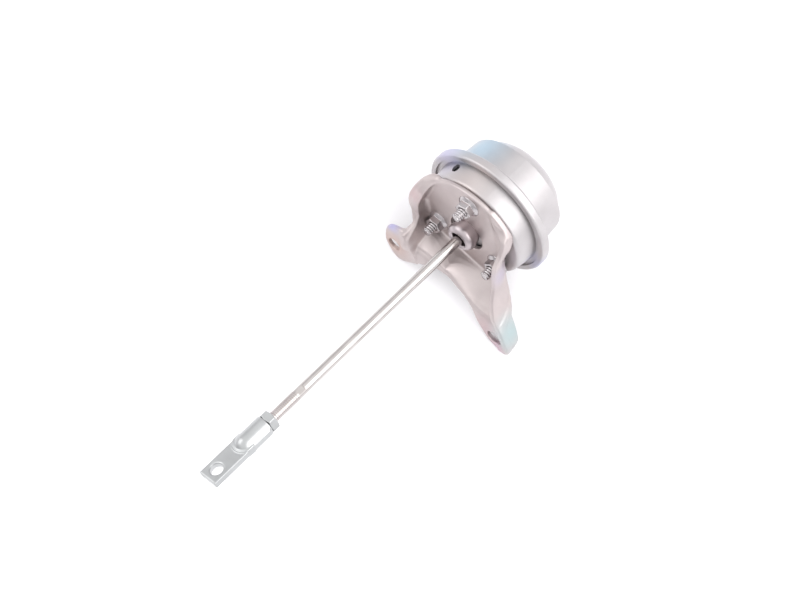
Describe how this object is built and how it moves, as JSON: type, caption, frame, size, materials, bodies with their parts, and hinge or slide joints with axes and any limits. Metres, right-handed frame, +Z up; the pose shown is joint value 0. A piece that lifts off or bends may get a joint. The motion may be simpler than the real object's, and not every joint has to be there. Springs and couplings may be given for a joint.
{
  "type": "turbocharger wastegate actuator",
  "caption": "Diaphragm wastegate actuator: pressed canister with spring, guided rod with adjustable rod end, and a two-eared mounting bracket.",
  "frame": {"origin": "on the floor under the middle of the unit's bounding box, with the unit lying on its canister rim and its two bracket ears", "axes": "+Z up, rod pointing along -Y and rising by 16.3 degrees, +X to the right ear"},
  "size_m": [0.085, 0.2074, 0.089],
  "materials": {
    "bracket_zinc": "satin zinc plate",
    "shell_zinc": "satin zinc plate",
    "bright_zinc": "bright zinc plate",
    "bush_steel": "turned, satin",
    "ground_steel": "ground and polished",
    "spring_steel": "oiled",
    "plain_steel": "pressed, unplated",
    "bronze": "sintered",
    "moulded_rubber": "fabric backed rubber",
    "seal_plastic": "filled PTFE"
  },
  "bodies": {
    "canister": {"front_cup": "shell_zinc", "rear_cup": "shell_zinc", "diaphragm": "moulded_rubber", "spring": "spring_steel", "spring_seat": "plain_steel", "rear_stop": "plain_steel", "guide_bush": "bush_steel", "guide_liner": "bronze", "rod_seal": "seal_plastic", "bush_ring": "plain_steel", "stud_plate": "plain_steel", "studs": "bright_zinc", "flange_nuts": "bright_zinc", "bracket": "bracket_zinc", "hose_nipple": "ground_steel"},
    "rod": {"rod": "ground_steel", "rod_collar": "plain_steel", "piston": "plain_steel", "retainer_plate": "plain_steel", "rivet_washer": "plain_steel"},
    "jam_nut": {"jam_nut": "bright_zinc"},
    "rod_end": {"rod_end": "bright_zinc"}
  },
  "joints": [
    {"name": "rod_slide", "type": "slide", "parent": "canister", "child": "rod", "axis": [0, -0.96, 0.2801], "range_m": [0, 0.012], "stiffness_N_per_m": 6000, "springref_m": -0.008, "deforming": ["spring", "diaphragm"]},
    {"name": "jam_nut_turn", "type": "hinge", "parent": "rod", "child": "jam_nut", "pos_m": [-0.00747, -0.06723, 0.07496], "axis": [0, -0.96, 0.2801], "continuous": true},
    {"name": "rod_end_turn", "type": "hinge", "parent": "rod", "child": "rod_end", "pos_m": [-0.00747, -0.07683, 0.07776], "axis": [0, -0.96, 0.2801], "continuous": true}
  ]
}
